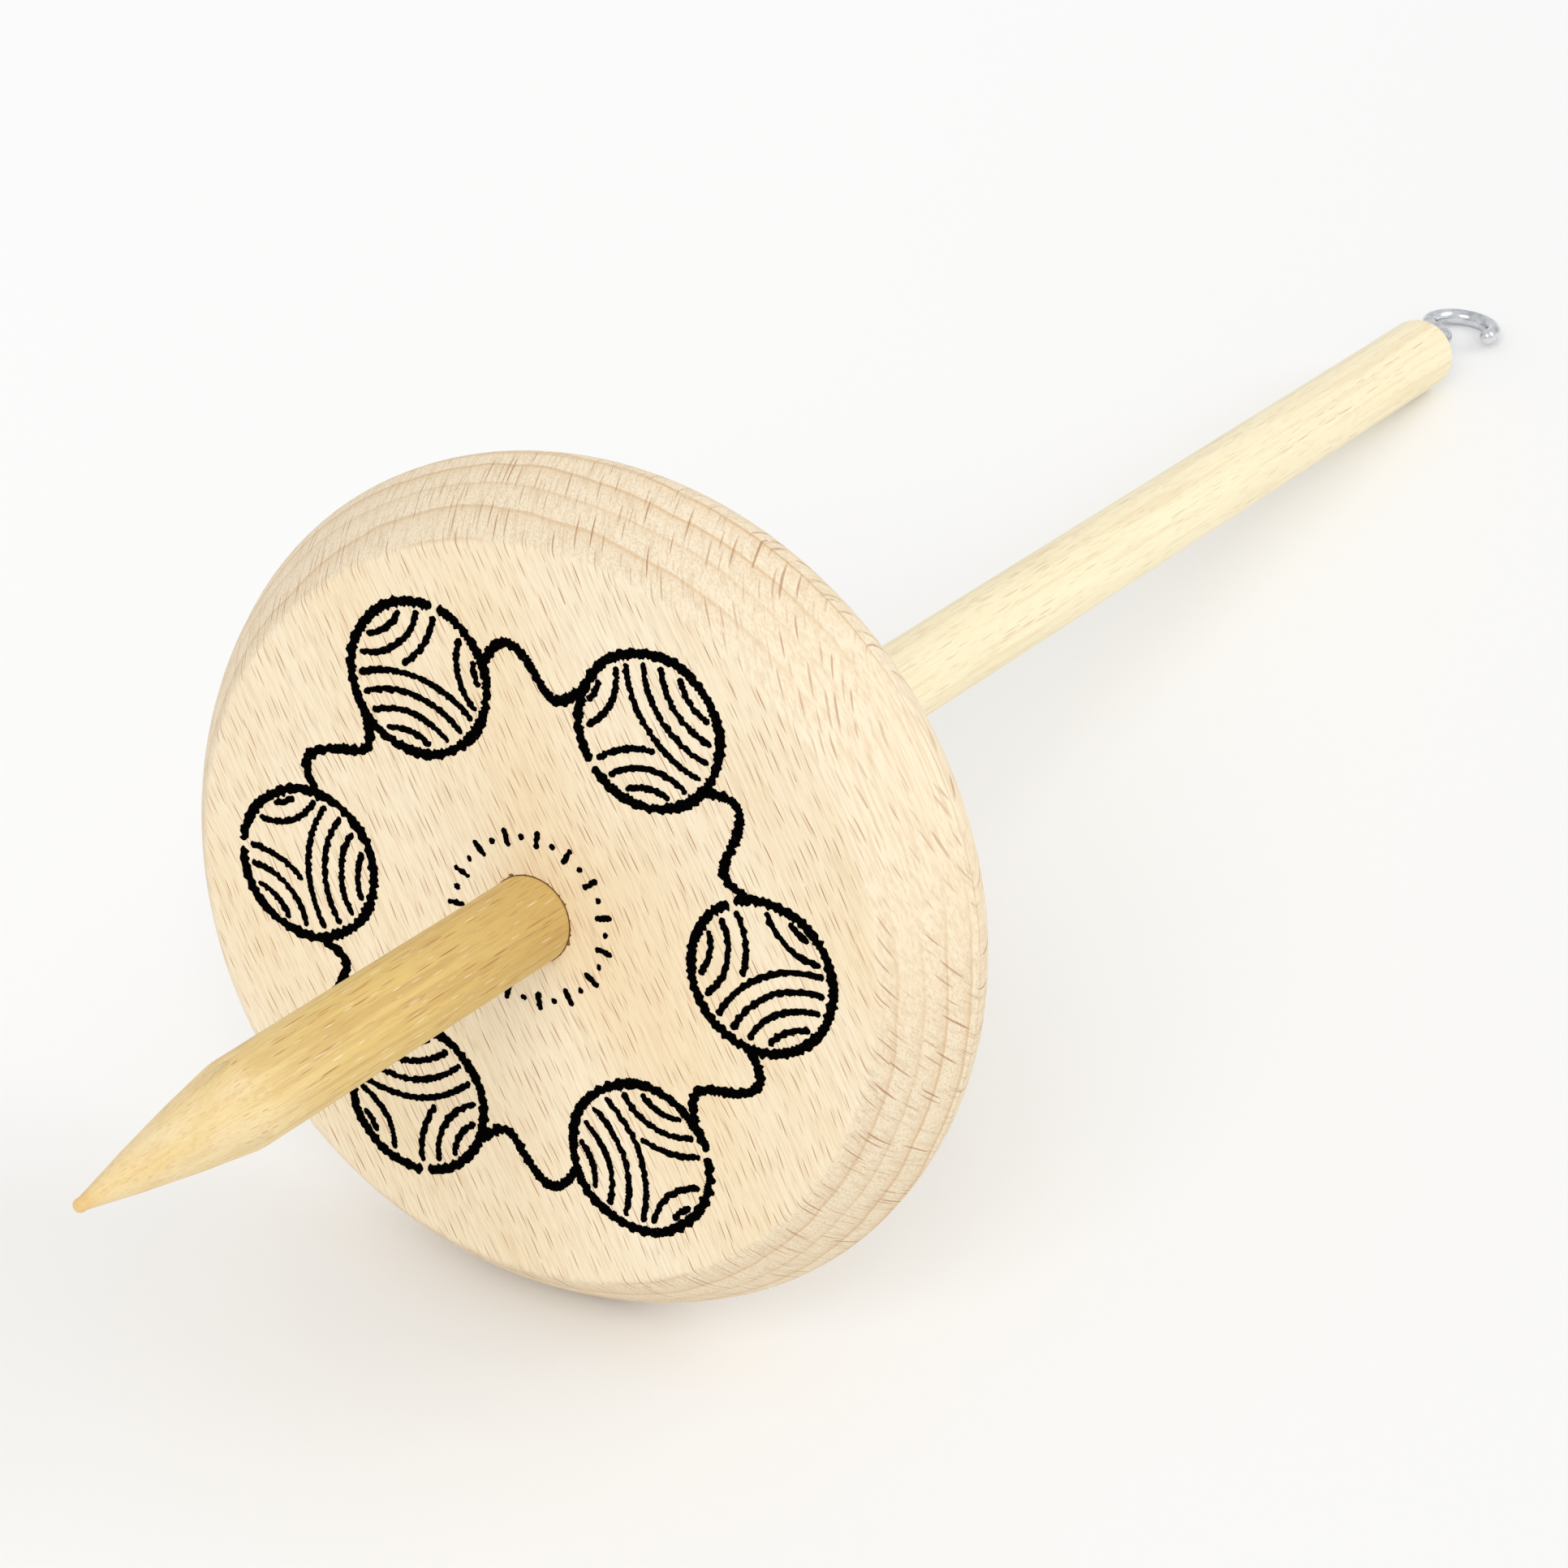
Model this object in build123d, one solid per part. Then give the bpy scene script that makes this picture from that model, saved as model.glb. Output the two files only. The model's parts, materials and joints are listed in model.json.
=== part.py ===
from build123d import *
import math
import os

os.makedirs("parts", exist_ok=True)

# Driving dimensions, in millimetres and degrees.
whorl_diameter = 98.0      # widest turned diameter, at the crest of the rim
whorl_thickness = 18.0     # one planed board
face_diameter = 84.6       # flat lower face that carries the print
crest_height = 10.6        # from the lower face to the widest ring
rim_bulge = 0.7            # how far the rim wall swells past a straight cone
face_edge_round = 1.5      # soft edge between the lower face and the rim wall
crest_round = 0.5

shaft_diameter = 10.0
shaft_length = 325.0       # point to hook end, nub included
point_reach = 82.2         # how far the point stands below the whorl's lower face
taper_length = 25.9        # turned pencil point
taper_bulge = 0.2
taper_shoulder_round = 9.0
nub_diameter = 1.5         # blunt button the lathe leaves on the tip
nub_length = 1.1
neck_diameter = 1.44       # faint waist above the button
shaft_end_round = 0.8
bore_clearance = 0.03      # radial, whorl bore to shaft
glue_groove_depth = 0.17   # radial, a shallow groove in the shaft at each mouth of the bore
glue_groove_reach = 2.0    # how far each groove runs into the bore
glue_groove_margin = 0.15  # how far each groove shows outside the face

hook_wire = 2.2
loop_radius = 4.7          # centreline of the loop
loop_reach = 14.7          # loop centre above the shaft's end
throat_radius = 2.35       # reverse bend between shank and loop
tip_angle = 283.0          # turn from the shank side, round the far side, to the open tip
shank_depth = 13.0         # screwed into the shaft
shank_point = 2.5
pilot_clearance = 0.03     # radial

# Derived sizes. The spindle's own axis is local Z, from the lower face (z = 0) towards the hook.
whorl_radius = whorl_diameter / 2
face_radius = face_diameter / 2
shaft_radius = shaft_diameter / 2
wire_radius = hook_wire / 2
tip_z = -point_reach
end_z = shaft_length - point_reach
loop_z = end_z + loop_reach
back_round = whorl_thickness - crest_height      # the rim rolls over from its crest to the back face
back_radius = whorl_radius - back_round


# The spindle lies on z = 0 on the back round of its rim and on its upper end. Each ring at the upper end
# would touch at its own tilt, and the spindle stops at the smallest one.
def touch_tilt(ring_radius, rounding, ring_z):
    run = ring_z - crest_height
    shallow, steep = 0.0, math.radians(60)
    for _ in range(60):
        middle = (shallow + steep) / 2
        rim_drop = back_radius * math.cos(middle) + back_round
        ring_drop = ring_radius * math.cos(middle) + run * math.sin(middle) + rounding
        shallow, steep = (middle, steep) if rim_drop > ring_drop else (shallow, middle)
    return shallow


shaft_touch = touch_tilt(shaft_radius - shaft_end_round, shaft_end_round, end_z - shaft_end_round)
hook_touch = touch_tilt(0.0, wire_radius, loop_z + loop_radius)
tilt = min(shaft_touch, hook_touch)

# Whorl: a turned disc, flat on both faces, with its widest ring at the crest of the rim.
chord = math.hypot(whorl_radius - face_radius, crest_height)
rim_middle = (
    (face_radius + whorl_radius) / 2 + rim_bulge * crest_height / chord,
    crest_height / 2 - rim_bulge * (whorl_radius - face_radius) / chord,
)
back_middle = (back_radius + back_round * math.sqrt(0.5), crest_height + back_round * math.sqrt(0.5))
with BuildPart() as whorl_build:
    with BuildSketch(Plane.XZ):
        with BuildLine():
            Line((0, 0), (face_radius, 0))
            ThreePointArc((face_radius, 0), rim_middle, (whorl_radius, crest_height))
            ThreePointArc((whorl_radius, crest_height), back_middle, (back_radius, whorl_thickness))
            Line((back_radius, whorl_thickness), (0, whorl_thickness))
            Line((0, whorl_thickness), (0, 0))
        make_face()
    revolve(axis=Axis.Z)
    rims = whorl_build.edges().filter_by(GeomType.CIRCLE)
    face_edge = rims.filter_by(lambda edge: abs(edge.radius - face_radius) < 0.01 and edge.center().Z < 0.01)
    crest_edge = rims.filter_by(lambda edge: abs(edge.radius - whorl_radius) < 0.01)
    fillet(face_edge, face_edge_round)
    fillet(crest_edge, crest_round)
    with Locations((0, 0, whorl_thickness / 2)):
        Cylinder(shaft_radius + bore_clearance, whorl_thickness + 2, mode=Mode.SUBTRACT)
whorl = whorl_build.part

# Shaft: one turned dowel, pencil point below, pilot hole for the hook above.
nub_radius = nub_diameter / 2
neck_radius = neck_diameter / 2
neck_z = tip_z + nub_length
shoulder_z = neck_z + taper_length
slope = math.hypot(taper_length, shaft_radius - neck_radius)
taper_middle = (
    (neck_radius + shaft_radius) / 2 + taper_bulge * taper_length / slope,
    (neck_z + shoulder_z) / 2 - taper_bulge * (shaft_radius - neck_radius) / slope,
)
with BuildPart() as shaft_build:
    with BuildSketch(Plane.XZ):
        with BuildLine():
            Spline(
                (0, tip_z), (nub_radius, tip_z + nub_length * 0.55), (neck_radius, neck_z),
                tangents=[(1, 0), (-0.05, 1)],
            )
            ThreePointArc((neck_radius, neck_z), taper_middle, (shaft_radius, shoulder_z))
            Line((shaft_radius, shoulder_z), (shaft_radius, end_z))
            Line((shaft_radius, end_z), (0, end_z))
            Line((0, end_z), (0, tip_z))
        make_face()
    revolve(axis=Axis.Z)
    rings = shaft_build.edges().filter_by(GeomType.CIRCLE)
    fillet(rings.filter_by(lambda edge: abs(edge.center().Z - end_z) < 0.01), shaft_end_round)
    fillet(rings.filter_by(lambda edge: abs(edge.center().Z - shoulder_z) < 0.01), taper_shoulder_round)
    groove_length = glue_groove_margin + glue_groove_reach
    for groove_z in (-glue_groove_margin, whorl_thickness - glue_groove_reach):
        with BuildSketch(Plane.XY.offset(groove_z)):
            Circle(shaft_radius + 1)
            Circle(shaft_radius - glue_groove_depth, mode=Mode.SUBTRACT)
        extrude(amount=groove_length, mode=Mode.SUBTRACT)
    with Locations((0, 0, end_z - shank_depth / 2)):
        Cylinder(wire_radius + pilot_clearance, shank_depth, mode=Mode.SUBTRACT)
    with Locations((0, 0, end_z - shank_depth)):
        Cone(
            0.05, wire_radius + pilot_clearance, shank_point,
            align=(Align.CENTER, Align.CENTER, Align.MAX), mode=Mode.SUBTRACT,
        )
shaft = shaft_build.part

# Hook: plated wire, a straight screw shank, a reverse bend and an open loop across the axis.
turn = math.degrees(math.acos(throat_radius / (throat_radius + loop_radius)))
join_angle = 90 - turn
straight_end = loop_z - (loop_radius + throat_radius) * math.sin(math.radians(turn))
shank_tip = end_z - shank_depth + 0.1


# Point of the loop's centreline, counted from the shank side towards +Y.
def loop_point(angle):
    a = math.radians(angle)
    return (0, loop_radius * math.sin(a), loop_z - loop_radius * math.cos(a))


half_turn = math.radians(turn / 2)
throat_middle = (
    0, throat_radius * (1 - math.cos(half_turn)), straight_end + throat_radius * math.sin(half_turn)
)
with BuildPart() as hook_build:
    with BuildLine() as wire_path:
        Line((0, 0, shank_tip), (0, 0, straight_end))
        ThreePointArc((0, 0, straight_end), throat_middle, loop_point(join_angle))
        ThreePointArc(
            loop_point(join_angle), loop_point((join_angle + tip_angle) / 2), loop_point(tip_angle)
        )
    with BuildSketch(Plane(origin=(0, 0, shank_tip), z_dir=(0, 0, 1))):
        Circle(wire_radius)
    sweep(path=wire_path.line)
    with Locations(loop_point(tip_angle)):
        Sphere(wire_radius)
    with Locations((0, 0, shank_tip)):
        Cone(
            0.12, wire_radius, shank_point - 0.2,
            align=(Align.CENTER, Align.CENTER, Align.MAX),
        )
hook = hook_build.part

lay_down = Rotation(0, 90 + math.degrees(tilt), 0)
laid = [lay_down * solid for solid in (whorl, shaft, hook)]
boxes = [solid.bounding_box() for solid in laid]
low = [min(getattr(box.min, axis) for box in boxes) for axis in "XYZ"]
high = [max(getattr(box.max, axis) for box in boxes) for axis in "XYZ"]
settle = Location((-(low[0] + high[0]) / 2, -(low[1] + high[1]) / 2, -low[2]))

for name, solid in zip(("whorl", "shaft", "hook"), laid):
    export_step(settle * solid, f"parts/{name}.step")

print("tilt", round(math.degrees(tilt), 3), "shaft touch", round(math.degrees(shaft_touch), 3),
      "hook touch", round(math.degrees(hook_touch), 3))
print("face centre", [round(v, 3) for v in (settle.position.X, settle.position.Y, settle.position.Z)])
print("size", [round(high[k] - low[k], 2) for k in range(3)])
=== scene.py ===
import json
import math
import bpy
import numpy as np
from mathutils import Matrix, Vector


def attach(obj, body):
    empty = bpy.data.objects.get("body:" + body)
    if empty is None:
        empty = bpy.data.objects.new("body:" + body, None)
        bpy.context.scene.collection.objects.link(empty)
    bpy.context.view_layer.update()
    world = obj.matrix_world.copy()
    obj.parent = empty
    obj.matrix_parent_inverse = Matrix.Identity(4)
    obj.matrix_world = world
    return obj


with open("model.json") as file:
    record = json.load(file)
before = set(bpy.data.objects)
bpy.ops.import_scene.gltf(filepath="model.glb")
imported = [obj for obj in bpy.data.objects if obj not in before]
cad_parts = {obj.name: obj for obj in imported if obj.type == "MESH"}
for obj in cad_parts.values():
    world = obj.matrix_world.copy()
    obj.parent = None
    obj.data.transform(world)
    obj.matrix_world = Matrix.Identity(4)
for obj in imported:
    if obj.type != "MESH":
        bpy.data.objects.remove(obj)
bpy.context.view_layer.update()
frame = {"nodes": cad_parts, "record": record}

mm = 0.001

# The spindle's own axes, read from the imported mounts: the shaft runs along shaftDir towards the hook, and
# faceCentre is where it leaves the whorl's printed face.
mounts = {mount["name"]: mount for mount in frame["record"]["mounts"]}
shaftDir = -Vector(mounts["lower_shaft"]["axis"]).normalized()
faceUp = Vector((-shaftDir.z, 0, shaftDir.x))
faceRight = shaftDir.cross(faceUp)
facePoint = Vector(mounts["whorl_lower_face"]["pos_m"])
faceCentre = Vector((facePoint.x, 0, facePoint.z))
print("frame read: face centre", [round(v / mm, 2) for v in faceCentre])


def toLinear(rgb):
    # one display colour, 0 to 255, to the linear value a shader wants
    parts = [v / 255 for v in rgb]
    return tuple(v / 12.92 if v <= 0.04045 else ((v + 0.055) / 1.055) ** 2.4 for v in parts) + (1.0,)


class Sock:
    # a socket that can be used in arithmetic: each operator adds one Math node

    def __init__(self, shader, socket):
        self.shader = shader
        self.socket = socket

    def math(self, operation, *others, clamp=False):
        settings = {"operation": operation, "use_clamp": clamp}
        return self.shader.add("ShaderNodeMath", settings, (self,) + others).out(0)

    def __add__(self, other):
        return self.math("ADD", other)

    def __sub__(self, other):
        return self.math("SUBTRACT", other)

    def __mul__(self, other):
        return self.math("MULTIPLY", other)

    def __truediv__(self, other):
        return self.math("DIVIDE", other)

    def __rsub__(self, other):
        return self.shader.add("ShaderNodeMath", {"operation": "SUBTRACT"}, (other, self)).out(0)

    __radd__ = __add__
    __rmul__ = __mul__

    def absolute(self):
        return self.math("ABSOLUTE")

    def rises(self, low, high):
        # 0 at low, 1 at high, smooth between; low may be the larger one
        inputs = {"Value": self, "From Min": low, "From Max": high}
        return self.shader.add("ShaderNodeMapRange", {"interpolation_type": "SMOOTHSTEP"}, inputs).out(0)


class Added:
    def __init__(self, shader, node):
        self.shader = shader
        self.node = node

    def out(self, name):
        return Sock(self.shader, self.node.outputs[name])


class Shader:
    # one material: add() makes any node from its type, its settings and its inputs

    def __init__(self, name):
        self.material = bpy.data.materials.new(name)
        self.material.use_nodes = True
        self.tree = self.material.node_tree
        self.tree.nodes.clear()

    def add(self, kind, settings=None, inputs=None):
        node = self.tree.nodes.new(kind)
        for key, value in (settings or {}).items():
            setattr(node, key, value)
        pairs = inputs.items() if isinstance(inputs, dict) else enumerate(inputs or ())
        for key, value in pairs:
            if isinstance(value, Sock):
                self.tree.links.new(value.socket, node.inputs[key])
            else:
                node.inputs[key].default_value = value
        return Added(self, node)

    def blend(self, factor, first, second):
        # Mix node's colour sockets are numbers 6 and 7, and its colour result is output 2
        settings = {"data_type": "RGBA"}
        return self.add("ShaderNodeMix", settings, {0: factor, 6: first, 7: second}).out(2)

    def scaled(self, vector, by):
        return self.add("ShaderNodeVectorMath", {"operation": "MULTIPLY"}, {0: vector, 1: by}).out(0)

    def moved(self, vector, by):
        return self.add("ShaderNodeVectorMath", {"operation": "ADD"}, {0: vector, 1: by}).out(0)

    def noise(self, vector, detail=2.0, rough=0.5):
        inputs = {"Vector": vector, "Scale": 1.0, "Detail": detail, "Roughness": rough}
        return self.add("ShaderNodeTexNoise", {}, inputs).out(0)

    def cells(self, vector):
        inputs = {"Vector": vector, "Scale": 1.0, "Randomness": 0.75}
        return self.add("ShaderNodeTexVoronoi", {"voronoi_dimensions": "3D", "feature": "F1"}, inputs)

    def local(self, turn):
        # Object coordinates turned to the spindle's own frame, in millimetres: x along the wood's grain when
        # turn is the grain's angle on the face, z along the shaft, counted from the printed face; and the
        # direction of that x
        down = -faceUp
        across = shaftDir.cross(down)
        basis = Matrix((down, across, shaftDir)).transposed() @ Matrix.Rotation(turn, 3, "Z")
        coords = self.add("ShaderNodeTexCoord").out("Object")
        placed = {"Vector": coords, "Location": faceCentre, "Rotation": basis.to_euler()}
        placed = self.add("ShaderNodeMapping", {"vector_type": "TEXTURE"}, placed).out(0)
        return self.scaled(placed, (1000, 1000, 1000)), basis @ Vector((1, 0, 0))

    def finish(self, inputs, bump=None, bumpDepth=0.0):
        if bump is not None:
            heights = {"Strength": 1.0, "Distance": bumpDepth, "Height": bump}
            inputs["Normal"] = self.add("ShaderNodeBump", {}, heights).out(0)
        surface = self.add("ShaderNodeBsdfPrincipled", {}, inputs).out(0)
        self.add("ShaderNodeOutputMaterial", {}, {"Surface": surface})
        return self.material


# Flecks: thin lenses scattered through the wood, one at the centre of each cell of a stretched cell pattern.
# spacing is the cell's size and half the lens's half size along each axis, in millimetres, and keep is the
# share of cells that hold a lens. A lens is solid in its middle and fades towards its edge.
def flecks(shader, place, spacing, half, keep, shift):
    stretched = shader.scaled(shader.moved(place, shift), tuple(1 / v for v in spacing))
    cell = shader.cells(stretched)
    chance = shader.add("ShaderNodeSeparateColor", {}, (cell.out("Color"),))
    inputs = {0: stretched, 1: cell.out("Position")}
    away = shader.add("ShaderNodeVectorMath", {"operation": "SUBTRACT"}, inputs).out(0)
    shaped = shader.scaled(away, tuple(gap / size for gap, size in zip(spacing, half)))
    reach = shader.add("ShaderNodeVectorMath", {"operation": "LENGTH"}, (shaped,)).out("Value")
    lens = (reach / (chance.out(2) * 0.7 + 0.7)).rises(1.0, 0.55)
    return lens * chance.out(0).math("GREATER_THAN", 1 - keep), chance.out(1)


whorlFinish = {
    "grainTurn": math.radians(-33.7),   # the grain's angle on the printed face
    "pale": (252, 239, 212),
    "warm": (248, 229, 193),
    "sideGrain": (247, 234, 208),
    "endGrain": (245, 230, 203),
    "endShade": (208, 178, 138),        # the dark half of the end grain's speckle
    "lateWood": (208, 168, 116),
    "fibre": (212, 172, 124),
    "ray": (166, 108, 58),
    "crestHeight": 10.6,                # where the widest ring of the rim stands
    "latheMarks": 2.6,                  # turning lines to a millimetre of rim
    "ringPeriod": 2.75,                 # millimetres between growth rings
    "ringTilt": 0.012,
    "ringCurve": 0.0006,
    "ringWave": 5.0,                    # millimetres the rings rise and fall in broad waves
    "ringRipple": 1.3,                  # and in short ones
    "rayDrift": 2.4,                    # millimetres the rays wander across the grain
    "boldRays": {"spacing": (4.4, 0.92, 5.8), "half": (1.85, 0.085, 2.8), "keep": 0.92,
                 "shift": (3.1, 7.7, 1.3)},
    "slimRays": {"spacing": (2.9, 0.62, 4.4), "half": (1.15, 0.055, 1.9), "keep": 0.92,
                 "shift": (11.2, 2.9, 5.1)},
    "arcSwing": 13.0,                   # how far the nested arcs at the crest bend, in millimetres
    "arcPeriod": 1.7,
    # how strongly each tone shows, from 0 to 1
    "sideShow": 0.6,
    "endShow": 0.9,
    "lateBandShow": 0.24,
    "lateLineShow": 0.50,
    "arcShow": 0.22,
    "stripeShow": 0.30,
    "rayShow": 0.88,
    # painted shade: the thin dark line at the rim's crest
    "crestShadeShow": 0.34,
    "roughness": 0.62,
    "bumpDepth": 0.00004,
}


def makeBeech(look):
    shader = Shader("beechWhorl")
    place, grainDir = shader.local(look["grainTurn"])
    parts = shader.add("ShaderNodeSeparateXYZ", {}, (place,))
    y, z = parts.out(1), parts.out(2)

    # how far the surface faces along the grain, 1 on end grain, and how far it faces along the shaft
    normal = shader.add("ShaderNodeTexCoord").out("Normal")
    along = shader.add("ShaderNodeVectorMath", {"operation": "DOT_PRODUCT"}, {0: normal, 1: grainDir})
    endFacing = along.out("Value").absolute().rises(0.12, 0.60)
    facing = shader.add("ShaderNodeVectorMath", {"operation": "DOT_PRODUCT"}, {0: normal, 1: shaftDir})
    flatFacing = facing.out("Value").absolute().rises(0.8, 0.99)
    rim = 1 - flatFacing
    sideFacing = rim * (1 - endFacing)

    # rings: nearly flat sheets parallel to the face, bent and wavy, each of its own strength
    wave = shader.noise(shader.scaled(place, (0.014, 0.022, 0.05)), 1.0) - 0.5
    ripple = shader.noise(shader.scaled(place, (0.05, 0.13, 0.12)), 2.0) - 0.5
    depth = z + y * look["ringTilt"] + y * y * look["ringCurve"]
    depth = depth + wave * look["ringWave"] + ripple * look["ringRipple"]
    rings = depth / look["ringPeriod"]
    phase = rings.math("FRACT")
    strength = shader.add("ShaderNodeTexWhiteNoise", {"noise_dimensions": "1D"}, {"W": rings.math("FLOOR")})
    ringTone = strength.out("Value") * 0.6 + 0.4
    lateBand = phase.rises(0.30, 0.92) * phase.rises(1.0, 0.94) * ringTone
    lateLine = phase.rises(0.80, 0.92) * phase.rises(1.0, 0.95) * ringTone
    ringShow = (endFacing * 0.85 + 0.15) * rim

    # where the rings graze the rim's crest on side grain they show as a few nested arcs
    hills = shader.noise(shader.scaled(place, (0.11, 0.02, 0.03)), 0.0) - 0.5
    arcs = ((z + hills * look["arcSwing"]) / look["arcPeriod"]).math("FRACT")
    arcPatch = shader.noise(shader.scaled(place, (0.045, 0.03, 0.02)), 0.0).rises(0.48, 0.60)
    arcZone = sideFacing * z.rises(7.0, 9.6) * z.rises(12.6, 11.0) * arcPatch
    arcLine = arcs.rises(0.30, 0.85) * arcs.rises(1.0, 0.88) * arcZone

    # fibre: long fine streaks along the grain, which read as speckle on end grain
    fibre = shader.noise(shader.scaled(place, (0.10, 3.0, 2.4)), 3.0, 0.65)
    fine = shader.noise(shader.scaled(place, (0.34, 5.0, 4.4)), 2.0, 0.6)
    patch = shader.noise(shader.scaled(place, (0.012, 0.05, 0.06)), 2.0)
    pinstripe = shader.noise(shader.scaled(place, (0.4, 2.3, 0.20)), 2.0, 0.6)

    # rays: thin blades that stand along the shaft and run with the grain, which wanders a little
    drift = shader.noise(shader.scaled(place, (0.05, 0.02, 0.06)), 1.0) - 0.5
    bent = shader.moved(place, shader.add("ShaderNodeCombineXYZ", {}, {1: drift * look["rayDrift"]}).out(0))
    bold, boldTone = flecks(shader, bent, **look["boldRays"])
    slim, slimTone = flecks(shader, bent, **look["slimRays"])
    rays = (bold * (boldTone * 0.45 + 0.55)).math("MAXIMUM", slim * (slimTone * 0.40 + 0.10), clamp=True)
    rays = rays * (1 - sideFacing * 0.40 - endFacing * 0.15)

    colour = shader.blend(patch.rises(0.3, 0.7), toLinear(look["pale"]), toLinear(look["warm"]))
    colour = shader.blend(sideFacing * look["sideShow"], colour, toLinear(look["sideGrain"]))
    colour = shader.blend(endFacing * look["endShow"], colour, toLinear(look["endGrain"]))
    colour = shader.blend(lateBand * ringShow * look["lateBandShow"], colour, toLinear(look["lateWood"]))
    colour = shader.blend(lateLine * ringShow * look["lateLineShow"], colour, toLinear(look["lateWood"]))
    colour = shader.blend(arcLine * look["arcShow"], colour, toLinear(look["lateWood"]))
    streak = fibre.rises(0.40, 0.68) * (0.30 + sideFacing * 0.08 - endFacing * 0.16)
    colour = shader.blend(streak, colour, toLinear(look["fibre"]))
    speckle = fine.rises(0.46, 0.64) * (endFacing * 0.30 + 0.10)
    colour = shader.blend(speckle, colour, toLinear(look["endShade"]))
    stripe = pinstripe.rises(0.50, 0.66) * endFacing
    colour = shader.blend(stripe * look["stripeShow"], colour, toLinear(look["endShade"]))
    colour = shader.blend(rays * look["rayShow"], colour, toLinear(look["ray"]))

    # the turned rim keeps faint lathe lines, and one plain line at its crest: painted shade, a thin dark
    # line where the rim turns over to its back, also sunk a little by the bump
    latheCoord = shader.add("ShaderNodeCombineXYZ", {}, {2: z * look["latheMarks"]}).out(0)
    lathe = shader.noise(latheCoord, 3.0, 0.7)
    # painted shade along the crest, where the rim turns over to its back
    crestShadeLine = (z - look["crestHeight"]).absolute().rises(0.13, 0.03) * rim
    colour = shader.blend(crestShadeLine * look["crestShadeShow"], colour, toLinear(look["lateWood"]))
    height = fibre * 0.35 + fine * 0.3 - rays * 0.2 + lathe * rim * 0.5 - crestShadeLine * 0.8
    rough = fibre * 0.12 + look["roughness"]
    inputs = {"Base Color": colour, "Roughness": rough, "Specular IOR Level": 0.3}
    return shader.finish(inputs, height, look["bumpDepth"])


shaftFinish = {
    "gold": (244, 216, 156),
    "deep": (229, 197, 119),
    # painted shade: the darker tone where the shaft meets the whorl
    "paintedWhorlShade": (210, 173, 96),
    "light": (249, 229, 182),
    "farPale": (255, 247, 216),
    "taper": (238, 213, 163),
    "greyStreak": (196, 154, 92),
    "pore": (166, 94, 36),
    "glint": (255, 248, 226),
    "tipStain": (226, 180, 104),
    "pores": {"spacing": (0.42, 0.42, 4.8), "half": (0.090, 0.090, 2.2), "keep": 0.85,
              "shift": (2.2, 5.4, 9.0)},
    "smallPores": {"spacing": (0.33, 0.33, 3.0), "half": (0.062, 0.062, 1.3), "keep": 0.75,
                   "shift": (8.5, 1.4, 3.0)},
    # painted highlight: near-white glints laid in thin streaks along the grain
    "glintStreaks": {"spacing": (0.46, 0.46, 2.8), "half": (0.055, 0.055, 1.1), "keep": 0.70,
                    "shift": (4.4, 6.1, 0.7)},
    # where each tone sets in and goes, in millimetres along the shaft from the printed face
    "taperFrom": (-54, -62),
    "frontStretchFrom": (-66, -40),
    "frontStretchUntil": (30, -4),
    "paintedWhorlShadeFrom": (-46, -6),
    "paintedWhorlShadeUntil": (18, 0),
    "farFrom": (8, 70),
    "tipFrom": (-79.5, -81.4),
    "roughness": 0.44,
    "bumpDepth": 0.00005,
}


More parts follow.
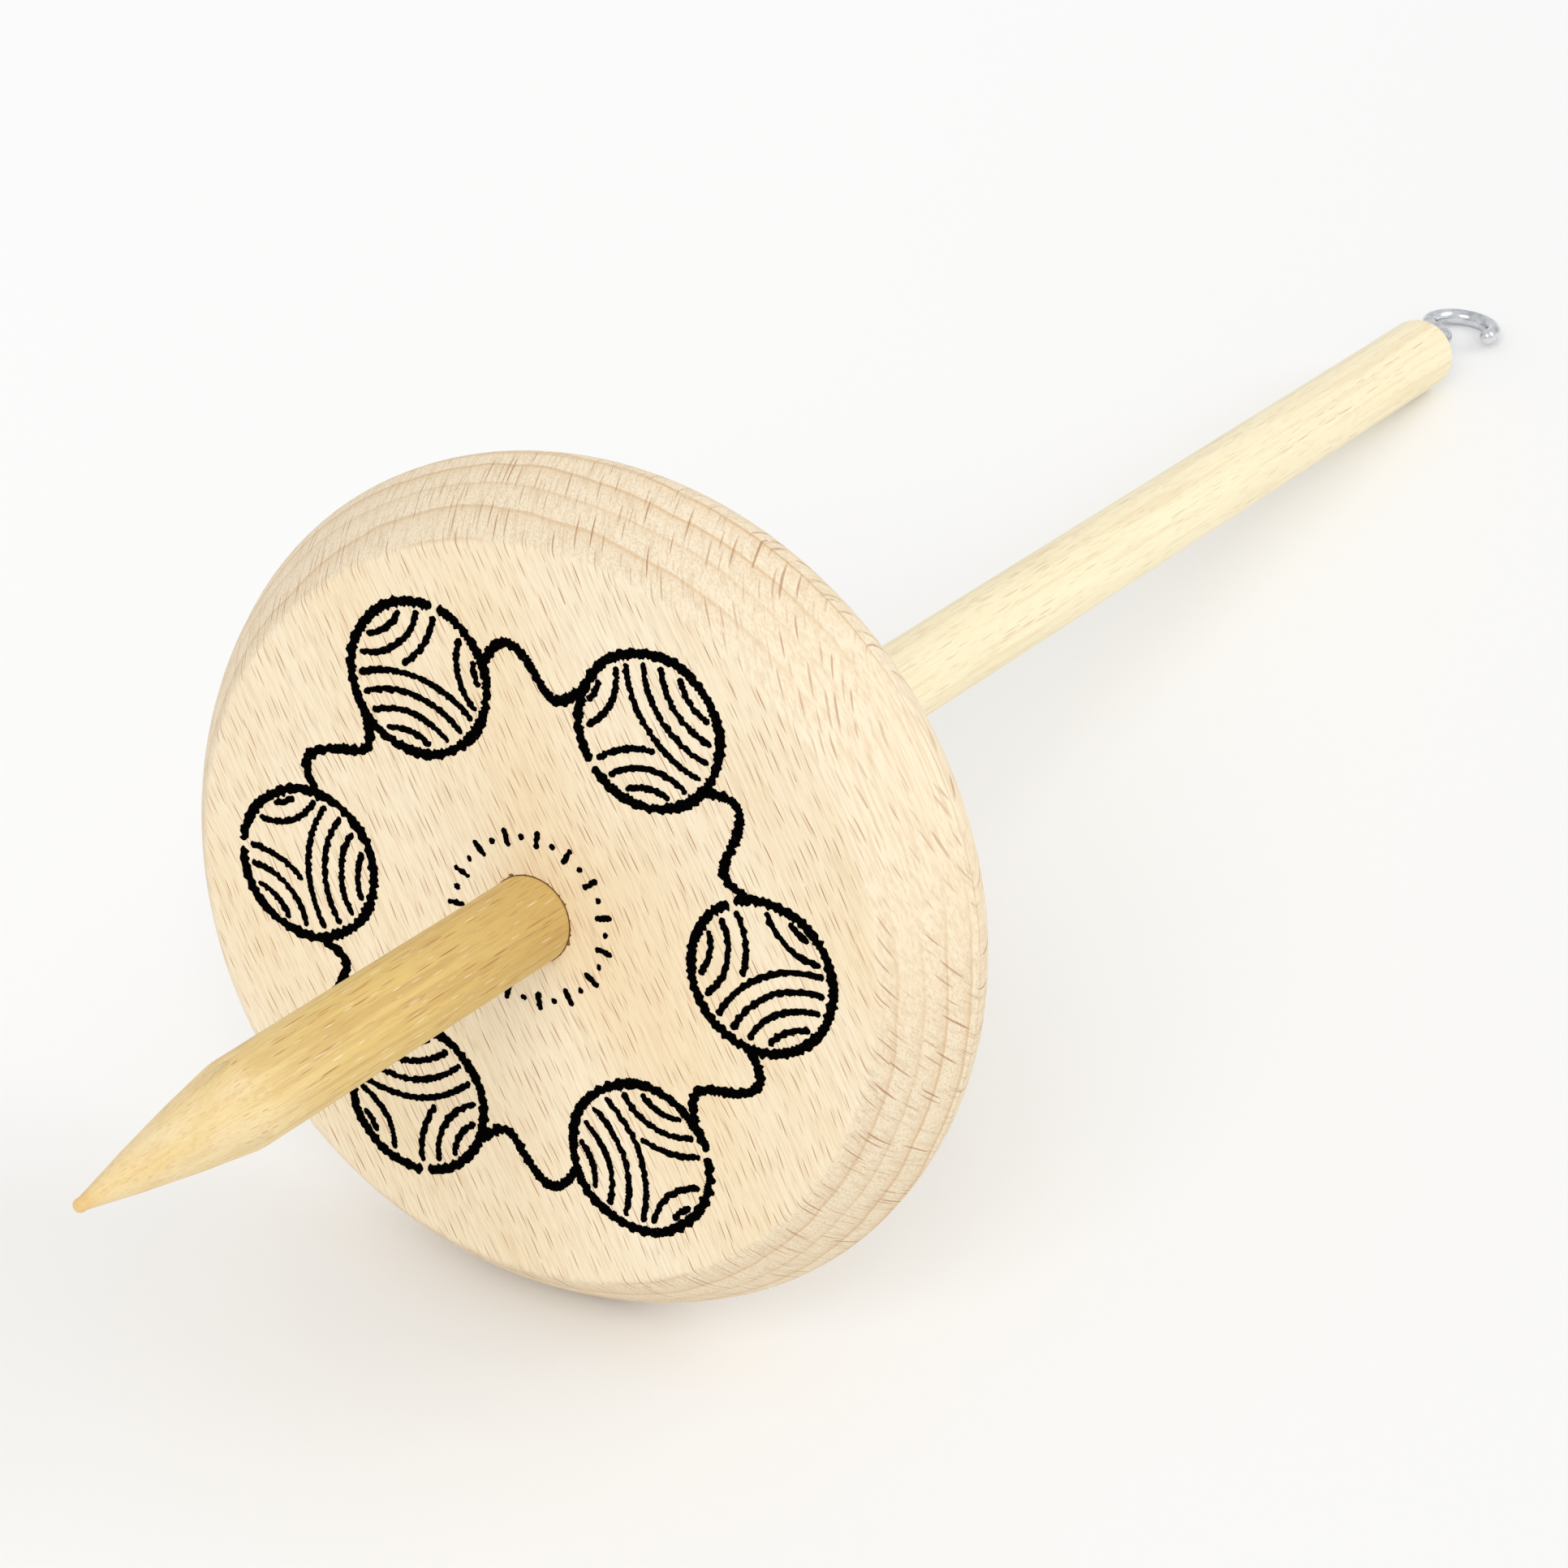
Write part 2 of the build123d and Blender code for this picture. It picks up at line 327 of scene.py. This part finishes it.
def makeDowelWood(look):
    shader = Shader("dowelWood")
    place = shader.local(0.0)[0]
    z = shader.add("ShaderNodeSeparateXYZ", {}, (place,)).out(2)
    band = shader.noise(shader.scaled(place, (0.55, 0.20, 0.009)), 3.0)
    streak = shader.noise(shader.scaled(place, (1.1, 1.1, 0.03)), 3.0, 0.6)
    mottle = shader.noise(shader.scaled(place, (0.30, 0.30, 0.10)), 2.0)
    fine = shader.noise(shader.scaled(place, (4.5, 4.5, 0.30)), 2.0, 0.6)
    pores, poreTone = flecks(shader, place, **look["pores"])
    small, smallTone = flecks(shader, place, **look["smallPores"])
    glintStreak, glintStreakTone = flecks(shader, place, **look["glintStreaks"])
    rows = shader.noise(shader.scaled(place, (1.5, 0.5, 0.012)), 2.0).rises(0.40, 0.60)
    marks = (pores * (poreTone * 0.5 + 0.5) * (rows * 0.8 + 0.2)).math("MAXIMUM", small * smallTone * 0.6)
    onTaper = z.rises(*look["taperFrom"])
    marks = marks * (1 - onTaper * 0.7)

    # the stretch in front of the whorl is the deepest in colour, darkened further by painted shade where it
    # meets the whorl, and the far end the palest
    # a darker tone along the stretch in front of the whorl
    frontStretch = z.rises(*look["frontStretchFrom"]) * z.rises(*look["frontStretchUntil"])
    far = z.rises(*look["farFrom"])
    # painted shade: darker over the few millimetres either side of where the shaft meets the whorl
    paintedWhorlShade = z.rises(*look["paintedWhorlShadeFrom"]) * z.rises(*look["paintedWhorlShadeUntil"])
    colour = shader.blend(band.rises(0.35, 0.65), toLinear(look["light"]), toLinear(look["gold"]))
    colour = shader.blend(frontStretch * 0.85, colour, toLinear(look["deep"]))
    colour = shader.blend(paintedWhorlShade * 0.38, colour, toLinear(look["paintedWhorlShade"]))
    colour = shader.blend(onTaper * 0.6, colour, toLinear(look["taper"]))
    warmth = mottle.rises(0.42, 0.7) * (0.45 - far * 0.2)
    colour = shader.blend(warmth, colour, toLinear(look["deep"]))
    colour = shader.blend(far * 0.7, colour, toLinear(look["farPale"]))
    grey = streak.rises(0.46, 0.66) * (frontStretch * 0.3 + 0.16)
    colour = shader.blend(grey, colour, toLinear(look["greyStreak"]))
    colour = shader.blend(fine.rises(0.46, 0.74) * (0.26 - far * 0.12), colour, toLinear(look["greyStreak"]))
    colour = shader.blend(marks * (0.92 - far * 0.50), colour, toLinear(look["pore"]))
    # painted highlight: near-white glints in thin streaks, strongest on the stretch in front of the whorl
    glint = glintStreak * (glintStreakTone * 0.6 + 0.4) * (frontStretch * 0.75 + 0.1)
    colour = shader.blend(glint, colour, toLinear(look["glint"]))
    colour = shader.blend(z.rises(*look["tipFrom"]) * 0.45, colour, toLinear(look["tipStain"]))
    height = streak * 0.3 + fine * 0.3 - marks * 0.3
    inputs = {"Base Color": colour, "Roughness": fine * 0.16 + look["roughness"], "Specular IOR Level": 0.45}
    return shader.finish(inputs, height, look["bumpDepth"])


hookFinish = {"tone": (226, 228, 232), "dull": (190, 193, 198), "roughness": 0.14, "bumpDepth": 0.000015}


def makePlatedWire(look):
    shader = Shader("platedWire")
    place = shader.local(0.0)[0]
    cloud = shader.noise(shader.scaled(place, (0.6, 0.6, 0.6)), 3.0)
    scuff = shader.noise(shader.scaled(place, (5.0, 5.0, 5.0)), 3.0, 0.6)
    colour = shader.blend(cloud.rises(0.4, 0.7), toLinear(look["tone"]), toLinear(look["dull"]))
    rough = scuff.rises(0.5, 0.8) * 0.16 + look["roughness"]
    inputs = {"Base Color": colour, "Metallic": 1.0, "Roughness": rough}
    return shader.finish(inputs, scuff, look["bumpDepth"])


inkFinish = {"ink": (5, 4, 4), "worn": (84, 70, 54), "roughness": 0.8}


def makeInk(look):
    shader = Shader("stampInk")
    place = shader.local(whorlFinish["grainTurn"])[0]
    fibre = shader.noise(shader.scaled(place, (0.5, 7.0, 7.0)), 3.0, 0.6)
    pin = shader.noise(shader.scaled(place, (3.0, 5.0, 5.0)), 2.0)
    wear = fibre.rises(0.64, 0.80) * 0.25 + pin.rises(0.70, 0.78) * 0.6
    colour = shader.blend(wear, toLinear(look["ink"]), toLinear(look["worn"]))
    inputs = {"Base Color": colour, "Roughness": fibre * 0.15 + look["roughness"], "Specular IOR Level": 0.0}
    return shader.finish(inputs)


seamFinish = {"shade": (120, 84, 48), "warm": (168, 124, 76), "roughness": 0.8}
sliverFinish = {"shade": (250, 238, 214), "warm": (236, 212, 172), "roughness": 0.6}


def makeTornWood(name, look):
    shader = Shader(name)
    place = shader.local(0.0)[0]
    torn = shader.noise(shader.scaled(place, (4.0, 4.0, 4.0)), 3.0, 0.6)
    colour = shader.blend(torn.rises(0.4, 0.65), toLinear(look["shade"]), toLinear(look["warm"]))
    inputs = {"Base Color": colour, "Roughness": torn * 0.15 + look["roughness"], "Specular IOR Level": 0.2}
    return shader.finish(inputs)


def addMesh(name, points, faces, material):
    mesh = bpy.data.meshes.new(name)
    mesh.from_pydata(points.tolist(), [], faces.tolist())
    mesh.update()
    mesh.materials.append(material)
    piece = bpy.data.objects.new(name, mesh)
    bpy.context.scene.collection.objects.link(piece)
    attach(piece, "root")
    return piece


inkFilm = {
    "proud": 0.025,        # millimetres above the face
    "sunk": 0.010,         # and below it, so that no gap shows
    "line": 1.16,          # stroke width
    "edge": 0.22,          # how uneven the stamped edge is, as a share of the width
    "step": 0.14,          # distance between sections along a stroke
    "motifs": 6,
    "motifTurn": 25.6,     # degrees, clockwise from straight up, to the first motif
    "motifReach": 28.6,    # from the bore to a motif's centre
    "ballRadius": 8.6,
    "strandWidth": 0.78,
    "strandGap": 0.9,      # kept clear inside a ball's outline and between its groups of strands
    # each group of strands: its turn, how many radii off its centre lies, and its circles' radii
    "strandGroups": (
        (20, 1.5, (0.75, 1.0, 1.25, 1.5)),
        (150, 1.35, (0.6, 0.85, 1.1)),
        (265, 1.4, (0.55, 0.8)),
    ),
    "linkWave": 2.6,       # height of the wave in the yarn between two balls
    "tickReach": 9.4,
    "tickHalf": 1.1,
    "tickWidth": 0.7,
    "dotSize": 0.8,
    "ticks": 15,
}
randomDraws = np.random.default_rng(41)


# Points on the face, in millimetres right and up from its centre, lifted by height, to the row frame.
def onFace(flat, height):
    right, up, out = (np.array(v) for v in (faceRight, faceUp, shaftDir))
    lifted = np.asarray(height)[..., None] * out
    return np.array(faceCentre) + (flat[..., :1] * right + flat[..., 1:] * up - lifted) * mm


# A curve resampled at even steps of its own length.
def evenly(flat, step):
    lengths = np.concatenate([[0], np.cumsum(np.linalg.norm(np.diff(flat, axis=0), axis=1))])
    at = np.linspace(0, lengths[-1], max(int(lengths[-1] / step), 4))
    return np.stack([np.interp(at, lengths, flat[:, k]) for k in (0, 1)], axis=1), at


# Uneven edge: a sum of sines along the stroke with random phases, from about 2 mm down to 0.3 mm long, and
# three slower ones that let the width swell and thin.
def unevenness(at):
    waves = np.concatenate([randomDraws.uniform(0.30, 1.9, 9), randomDraws.uniform(4.0, 11.0, 3)])
    phases = randomDraws.uniform(0, 2 * math.pi, len(waves))
    return np.sin(2 * math.pi * at[:, None] / waves + phases).sum(axis=1) / 3


# Stroke: a flat box section carried along a curve. Half its width is width / 2, narrowed to a round end over
# the last half width, times 1 plus the unevenness of each edge.
def stroke(flat, width):
    points, at = evenly(flat, inkFilm["step"])
    ahead = np.gradient(points, axis=0)
    ahead /= np.linalg.norm(ahead, axis=1)[:, None]
    side = np.stack([-ahead[:, 1], ahead[:, 0]], axis=1)
    fromEnd = np.minimum(at, at[-1] - at) / (width / 2)
    taper = np.sqrt(1 - np.clip(1 - fromEnd, 0, 0.98) ** 2)
    halves = [width / 2 * taper * (1 + inkFilm["edge"] * unevenness(at)) for _ in range(2)]
    left = points + side * halves[0][:, None]
    right = points - side * halves[1][:, None]
    top = np.full(len(points), inkFilm["proud"] + randomDraws.uniform(0, 0.006))
    low = np.full(len(points), -inkFilm["sunk"])
    ring = np.stack([onFace(left, low), onFace(left, top), onFace(right, top), onFace(right, low)], axis=1)
    count = len(points)
    start = np.arange(count - 1)[:, None] * 4
    corner = np.arange(4)[None]
    after = (corner + 1) % 4
    faces = np.stack([start + corner, start + after, start + 4 + after, start + 4 + corner], axis=-1)
    last = (count - 1) * 4
    ends = np.array([[3, 2, 1, 0], [last, last + 1, last + 2, last + 3]])
    return ring.reshape(-1, 3), np.concatenate([faces.reshape(-1, 4), ends])


# Dot: a short fat stroke.
def dot(centre, size, turn):
    reach = np.linspace(-1, 1, 12)[:, None] * size * 0.5
    return stroke(np.array(centre) + reach * np.array([math.cos(turn), math.sin(turn)]), size * 0.9)


def joined(shapes):
    starts = np.cumsum([0] + [len(points) for points, faces in shapes[:-1]])
    points = np.concatenate([points for points, faces in shapes])
    faces = np.concatenate([faces + start for (points, faces), start in zip(shapes, starts)])
    return points, faces


# Part of a circle, from one angle to another, in degrees clockwise from straight up.
def arc(centre, radius, fromTurn, toTurn, count=120):
    turn = np.radians(np.linspace(fromTurn, toTurn, count))
    return np.array(centre) + radius * np.stack([np.sin(turn), np.cos(turn)], axis=1)


# A ball of yarn: its outline, then three groups of strands. A strand is the part of a wide circle that lies
# inside the outline, and each group's circles share a centre outside the ball.
def yarnBall(centre, turn):
    radius = inkFilm["ballRadius"]
    shapes = [stroke(arc(centre, radius, turn + 205, turn + 561), inkFilm["line"])]
    covered = np.zeros((0, 3))
    for groupTurn, distance, reaches in inkFilm["strandGroups"]:
        far = np.radians(turn + groupTurn)
        hub = np.array(centre) + radius * distance * np.array([math.sin(far), math.cos(far)])
        for reach in reaches:
            whole = arc(hub, radius * reach, turn + groupTurn + 90, turn + groupTurn + 270, 400)
            inside = np.linalg.norm(whole - centre, axis=1) < radius - inkFilm["strandGap"]
            for hubX, hubY, limit in covered:
                inside &= np.hypot(whole[:, 0] - hubX, whole[:, 1] - hubY) > limit + inkFilm["strandGap"]
            strand = whole[inside]
            if len(strand) > 8:
                shapes.append(stroke(strand, inkFilm["strandWidth"]))
        covered = np.vstack([covered, [hub[0], hub[1], radius * reaches[-1]]])
    return shapes


# Yarn from one ball to the next: an arc round the bore with one wave across it.
def yarnLink(fromTurn, toTurn, reach):
    share = np.linspace(0, 1, 120)
    turn = np.radians(fromTurn + (toTurn - fromTurn) * share)
    radius = reach + inkFilm["linkWave"] * np.sin(2 * math.pi * share)
    return np.stack([radius * np.sin(turn), radius * np.cos(turn)], axis=1)


boreEdge = {
    "inner": 5.02,        # millimetres from the shaft's axis: just inside the bore's wall
    "widest": 0.34,
    "hairline": 0.16,     # the narrowest part, as a share of widest
    "proud": 0.012,
    "sunk": 0.01,
    "slivers": 15,
    "sliverLength": 0.9,
    "sliverWidth": (0.08, 0.16),
}


# Broken edge of the bore: a thin ring on the face whose outer radius is the bore's plus a share of widest.
# The share is a sum of sines of the angle with random phases, cut off below 0 and raised to a power, so that
# it is a hairline with a few wider chips. The slivers are short strokes laid round part of it.
def makeBoreEdge(look):
    turn = np.linspace(0, 2 * math.pi, 361)[:-1]
    counts = np.array([3, 5, 8, 13, 21, 34, 55])
    phases = randomDraws.uniform(0, 2 * math.pi, len(counts))
    rough = np.sin(turn[:, None] * counts + phases).sum(axis=1) / 4
    width = look["widest"] * (look["hairline"] + (1 - look["hairline"]) * np.clip(rough, 0, 1) ** 1.6)
    around = np.stack([np.sin(turn), np.cos(turn)], axis=1)
    inner = around * look["inner"]
    outer = around * (look["inner"] + width)[:, None]
    top, low = np.full(len(turn), look["proud"]), np.full(len(turn), -look["sunk"])
    ring = np.stack([onFace(inner, low), onFace(inner, top), onFace(outer, top), onFace(outer, low)], axis=1)
    start = np.arange(len(turn))[:, None] * 4
    follow = np.roll(start, -1, axis=0)
    corner = np.arange(4)[None]
    after = (corner + 1) % 4
    faces = np.stack([start + after, start + corner, follow + corner, follow + after], axis=-1)
    addMesh("bore_edge", ring.reshape(-1, 3), faces.reshape(-1, 4), seamMaterial)
    slivers = []
    for turnOne in randomDraws.uniform(-1.3, 2.3, look["slivers"]):
        out = np.array([math.sin(turnOne), math.cos(turnOne)])
        tangent = np.array([out[1], -out[0]])
        length = look["sliverLength"] * randomDraws.uniform(0.4, 1.0)
        lean = randomDraws.uniform(-0.25, 0.25)
        line = np.linspace(-0.5, 0.5, 12)[:, None] * length
        middle = out * (look["inner"] + 0.12 + randomDraws.uniform(0, 0.12))
        sliver = middle + line * (tangent + out * lean)
        slivers.append(stroke(sliver, randomDraws.uniform(*look["sliverWidth"])))
    points, faces = joined(slivers)
    addMesh("bore_slivers", points, faces, sliverMaterial)
    print("bore edge:", len(faces), "faces of slivers")


def makeOrnament():
    balls, links, ticks = [], [], []
    spacing = 360 / inkFilm["motifs"]
    ballTurn = math.degrees(inkFilm["ballRadius"] / inkFilm["motifReach"])
    for k in range(inkFilm["motifs"]):
        turn = inkFilm["motifTurn"] + k * spacing
        at = np.radians(turn)
        centre = inkFilm["motifReach"] * np.array([math.sin(at), math.cos(at)])
        balls += yarnBall(centre, turn + 40 * k)
        linkPath = yarnLink(turn + ballTurn, turn + spacing - ballTurn, inkFilm["motifReach"])
        links.append(stroke(linkPath, inkFilm["line"]))
    for k in range(inkFilm["ticks"]):
        turn = 2 * math.pi * k / inkFilm["ticks"]
        out = np.array([math.sin(turn), math.cos(turn)])
        along = np.linspace(-inkFilm["tickHalf"], inkFilm["tickHalf"], 20)[:, None]
        ticks.append(stroke(out * along + out * inkFilm["tickReach"], inkFilm["tickWidth"]))
        middle = turn + math.pi / inkFilm["ticks"]
        spot = inkFilm["tickReach"] * np.array([math.sin(middle), math.cos(middle)])
        ticks.append(dot(spot, inkFilm["dotSize"], middle))
    printed = {"printed_yarn_balls": balls, "printed_yarn_links": links, "printed_bore_ticks": ticks}
    for name, shapes in printed.items():
        points, faces = joined(shapes)
        addMesh(name, points, faces, inkMaterial)
        print("ornament:", name, len(faces), "faces")


beechMaterial = makeBeech(whorlFinish)
dowelMaterial = makeDowelWood(shaftFinish)
wireMaterial = makePlatedWire(hookFinish)
inkMaterial = makeInk(inkFinish)
seamMaterial = makeTornWood("boreSeam", seamFinish)
sliverMaterial = makeTornWood("boreSliver", sliverFinish)
for nodeName, material in (("whorl", beechMaterial), ("shaft", dowelMaterial), ("hook", wireMaterial)):
    frame["nodes"][nodeName].data.materials.clear()
    frame["nodes"][nodeName].data.materials.append(material)
print("materials made")
makeOrnament()
makeBoreEdge(boreEdge)

studio = {
    # painted light: the floor is darker near the camera and lighter far off, standing in for the lamps'
    # fall-off
    "floorNearShaded": (243, 243, 242),
    "floorFarLit": (252, 252, 252),
    "floorLightFade": (-0.20, 0.30),  # metres along Y over which the floor turns from one tone to the other
    "floorGlow": 0.10,       # share of the floor that shows as plain white to the camera
    "floorSize": 6.0,
    "worldStrength": 0.74,
    "keyPower": 22.0,
    "keySize": 1.8,
    "keyPlace": (-1.9, -0.6, 2.0),
    "fillPower": 17.0,
    "fillSize": 2.0,
    "fillPlace": (1.3, -1.9, 1.6),
}


def makeFloor(look):
    shader = Shader("paleFloor")
    path = shader.add("ShaderNodeLightPath")
    coords = shader.add("ShaderNodeTexCoord").out("Object")
    y = shader.add("ShaderNodeSeparateXYZ", {}, (coords,)).out(1)
    # painted light: the floor's tone turns from its shaded near tone to its lit far tone along Y
    tone = shader.blend(y.rises(*look["floorLightFade"]), toLinear(look["floorNearShaded"]), toLinear(look["floorFarLit"]))
    matt = shader.add("ShaderNodeBsdfDiffuse", {}, {"Color": tone}).out(0)
    white = shader.add("ShaderNodeEmission", {}, {"Color": (1, 1, 1, 1), "Strength": 1.0}).out(0)
    seen = path.out("Is Camera Ray").math("MAXIMUM", path.out("Is Glossy Ray"))
    surface = shader.add("ShaderNodeMixShader", {}, {0: seen * look["floorGlow"], 1: matt, 2: white}).out(0)
    shader.add("ShaderNodeOutputMaterial", {}, {"Surface": surface})
    half = look["floorSize"] / 2
    corners = [(-half, -half, 0), (half, -half, 0), (half, half, 0), (-half, half, 0)]
    mesh = bpy.data.meshes.new("floor")
    mesh.from_pydata(corners, [], [(0, 1, 2, 3)])
    mesh.materials.append(shader.material)
    floor = bpy.data.objects.new("floor", mesh)
    bpy.context.scene.collection.objects.link(floor)


def makeWorld(look):
    world = bpy.data.worlds.new("studio")
    world.use_nodes = True
    tree = world.node_tree
    tree.nodes.clear()
    path = tree.nodes.new("ShaderNodeLightPath")
    soft = tree.nodes.new("ShaderNodeBackground")
    soft.inputs["Strength"].default_value = look["worldStrength"]
    white = tree.nodes.new("ShaderNodeBackground")
    white.inputs["Strength"].default_value = 1.0
    mix = tree.nodes.new("ShaderNodeMixShader")
    output = tree.nodes.new("ShaderNodeOutputWorld")
    for socket, target in ((path.outputs["Is Camera Ray"], 0), (soft.outputs[0], 1), (white.outputs[0], 2)):
        tree.links.new(socket, mix.inputs[target])
    tree.links.new(mix.outputs[0], output.inputs[0])
    for background in (soft, white):
        background.inputs["Color"].default_value = (1, 1, 1, 1)
    bpy.context.scene.world = world


def makeLamp(name, place, power, size):
    data = bpy.data.lights.new(name, "AREA")
    data.shape = "DISK"
    data.size = size
    data.energy = power
    lamp = bpy.data.objects.new(name, data)
    lamp.location = place
    lamp.rotation_euler = (faceCentre - Vector(place)).to_track_quat("-Z", "Y").to_euler()
    bpy.context.scene.collection.objects.link(lamp)


cameraPlace = {
    "fromFace": (-406.6, -264.8, 338.7),   # millimetres from the face's centre
    "heading": 29.85,                      # degrees from +X towards +Y
    "dip": 33.55,
    "lens": 126.2,
}


def makeCamera(look):
    data = bpy.data.cameras.new("camera")
    data.lens = look["lens"]
    data.sensor_width = 36
    data.clip_start = 0.01
    camera = bpy.data.objects.new("camera", data)
    heading, dip = math.radians(look["heading"]), math.radians(look["dip"])
    ahead = Vector((math.cos(heading) * math.cos(dip), math.sin(heading) * math.cos(dip), -math.sin(dip)))
    camera.location = faceCentre + Vector(look["fromFace"]) * mm
    camera.rotation_euler = ahead.to_track_quat("-Z", "Y").to_euler()
    bpy.context.scene.collection.objects.link(camera)
    bpy.context.scene.camera = camera


makeFloor(studio)
makeWorld(studio)
makeLamp("keyLamp", studio["keyPlace"], studio["keyPower"], studio["keySize"])
makeLamp("fillLamp", studio["fillPlace"], studio["fillPower"], studio["fillSize"])
makeCamera(cameraPlace)
bpy.context.scene.view_settings.view_transform = "Standard"
print("studio and camera made")
